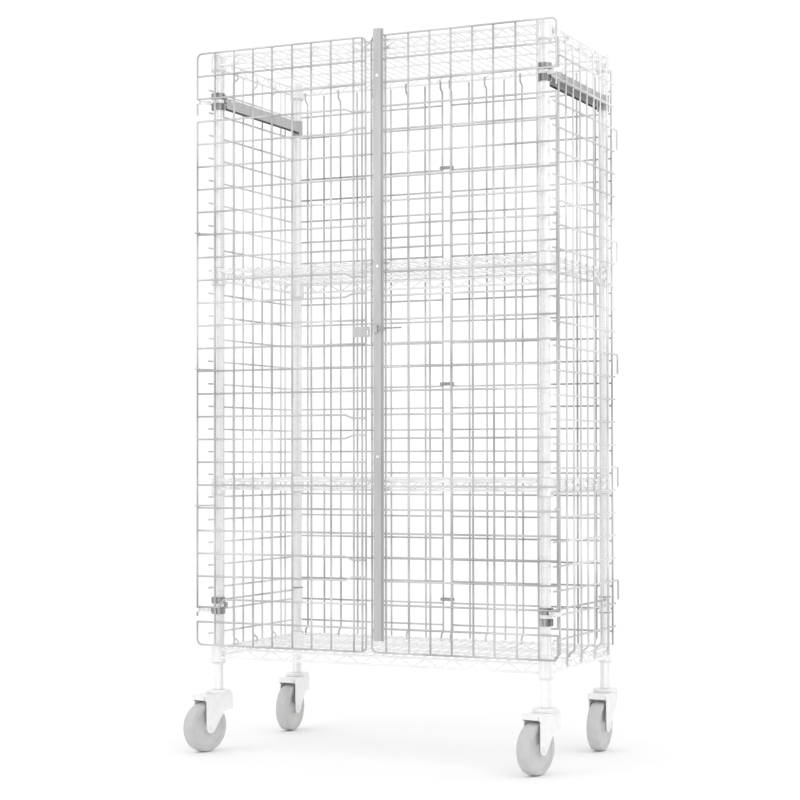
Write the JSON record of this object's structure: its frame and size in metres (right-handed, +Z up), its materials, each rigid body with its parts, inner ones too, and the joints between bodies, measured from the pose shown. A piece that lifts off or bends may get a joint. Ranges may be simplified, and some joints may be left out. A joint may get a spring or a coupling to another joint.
{
  "type": "roll cage container",
  "caption": "Mobile wire security cart: chrome shelves on posts and swivel casters, enclosed by mesh panels and double mesh doors with a lock bar.",
  "frame": {"origin": "on the floor, below the centre of the cart's outer box at rest", "axes": "+Z up, +X to the right seen from the door side, -Y towards the door side"},
  "size_m": [0.9788, 0.569, 1.7676],
  "materials": {
    "chrome_wire": "bright zinc or chrome plated wire",
    "chrome_post": "bright chrome plated tube",
    "chrome_shelf": "bright chrome plated wire shelf",
    "zinc_fork": "bright zinc plated pressed steel",
    "zinc_sheet": "satin plated sheet steel",
    "clamp_steel": "plated pressed steel clamp",
    "grey_tread": "light grey non-marking tread",
    "grey_hub": "grey moulded hub",
    "pale_plastic": "pale grey moulded cap"
  },
  "bodies": {
    "frame": {"post_front_left": "chrome_post", "post_cap_front_left": "pale_plastic", "caster_stem_front_left": "zinc_fork", "post_front_right": "chrome_post", "post_cap_front_right": "pale_plastic", "caster_stem_front_right": "zinc_fork", "post_back_left": "chrome_post", "post_cap_back_left": "pale_plastic", "caster_stem_back_left": "zinc_fork", "post_back_right": "chrome_post", "post_cap_back_right": "pale_plastic", "caster_stem_back_right": "zinc_fork", "shelf_bottom": "chrome_shelf", "shelf_lower": "chrome_shelf", "shelf_upper": "chrome_shelf", "shelf_top": "chrome_shelf", "left_side_panel": "chrome_wire", "left_back_panel": "chrome_wire", "left_side_channel": "zinc_sheet", "left_side_tie": "zinc_sheet", "hinge_clamp_left_upper": "clamp_steel", "hinge_clamp_left_lower": "clamp_steel", "right_side_panel": "chrome_wire", "right_back_panel": "chrome_wire", "right_side_channel": "zinc_sheet", "right_side_tie": "zinc_sheet", "hinge_clamp_right_upper": "clamp_steel", "hinge_clamp_right_lower": "clamp_steel", "back_clip_upper": "clamp_steel", "back_clip_middle": "clamp_steel", "back_clip_lower": "clamp_steel"},
    "left_door_leaf": {"left_door": "chrome_wire", "lock_keeper": "zinc_sheet"},
    "right_door_leaf": {"right_door": "chrome_wire", "lock_bar": "zinc_sheet", "lock_bar_hook": "zinc_sheet", "lock_bar_rivet_upper": "chrome_post", "lock_bar_rivet_middle": "chrome_post", "lock_bar_rivet_lower": "chrome_post", "bolt_guide": "zinc_sheet"},
    "bolt": {"slide_bolt": "zinc_sheet"},
    "fork_front_left": {"caster_fork_front_left": "zinc_fork", "caster_axle_front_left": "zinc_fork"},
    "wheel_front_left": {"caster_tyre_front_left": "grey_tread", "caster_hub_front_left": "grey_hub"},
    "fork_front_right": {"caster_fork_front_right": "zinc_fork", "caster_axle_front_right": "zinc_fork"},
    "wheel_front_right": {"caster_tyre_front_right": "grey_tread", "caster_hub_front_right": "grey_hub"},
    "fork_back_left": {"caster_fork_back_left": "zinc_fork", "caster_axle_back_left": "zinc_fork"},
    "wheel_back_left": {"caster_tyre_back_left": "grey_tread", "caster_hub_back_left": "grey_hub"},
    "fork_back_right": {"caster_fork_back_right": "zinc_fork", "caster_axle_back_right": "zinc_fork"},
    "wheel_back_right": {"caster_tyre_back_right": "grey_tread", "caster_hub_back_right": "grey_hub"}
  },
  "joints": [
    {"name": "left_door_hinge", "type": "hinge", "parent": "frame", "child": "left_door_leaf", "pos_m": [-0.481, -0.209, 0.991], "axis": [0, 0, -1], "range_deg": [0, 264]},
    {"name": "right_door_hinge", "type": "hinge", "parent": "frame", "child": "right_door_leaf", "pos_m": [0.481, -0.209, 0.991], "axis": [0, 0, 1], "range_deg": [0, 264]},
    {"name": "bolt_slide", "type": "slide", "parent": "right_door_leaf", "child": "bolt", "axis": [-1, 0, 0], "range_m": [0, 0.02]},
    {"name": "caster_swivel_front_left", "type": "hinge", "parent": "frame", "child": "fork_front_left", "pos_m": [-0.439, -0.177, 0.1425], "axis": [0, 0, 1], "continuous": true},
    {"name": "wheel_spin_front_left", "type": "hinge", "parent": "fork_front_left", "child": "wheel_front_left", "pos_m": [-0.45253, -0.21992, 0.062], "axis": [0.9537, -0.3007, 0], "continuous": true},
    {"name": "caster_swivel_front_right", "type": "hinge", "parent": "frame", "child": "fork_front_right", "pos_m": [0.439, -0.177, 0.1425], "axis": [0, 0, 1], "continuous": true},
    {"name": "wheel_spin_front_right", "type": "hinge", "parent": "fork_front_right", "child": "wheel_front_right", "pos_m": [0.42964, -0.22102, 0.062], "axis": [0.9781, -0.2079, 0], "continuous": true},
    {"name": "caster_swivel_back_left", "type": "hinge", "parent": "frame", "child": "fork_back_left", "pos_m": [-0.439, 0.245, 0.1425], "axis": [0, 0, 1], "continuous": true},
    {"name": "wheel_spin_back_left", "type": "hinge", "parent": "fork_back_left", "child": "wheel_back_left", "pos_m": [-0.43665, 0.20006, 0.062], "axis": [0.9986, 0.0523, 0], "continuous": true},
    {"name": "caster_swivel_back_right", "type": "hinge", "parent": "frame", "child": "fork_back_right", "pos_m": [0.439, 0.245, 0.1425], "axis": [0, 0, 1], "continuous": true},
    {"name": "wheel_spin_back_right", "type": "hinge", "parent": "fork_back_right", "child": "wheel_back_right", "pos_m": [0.43978, 0.20001, 0.062], "axis": [0.9998, 0.0175, 0], "continuous": true}
  ]
}
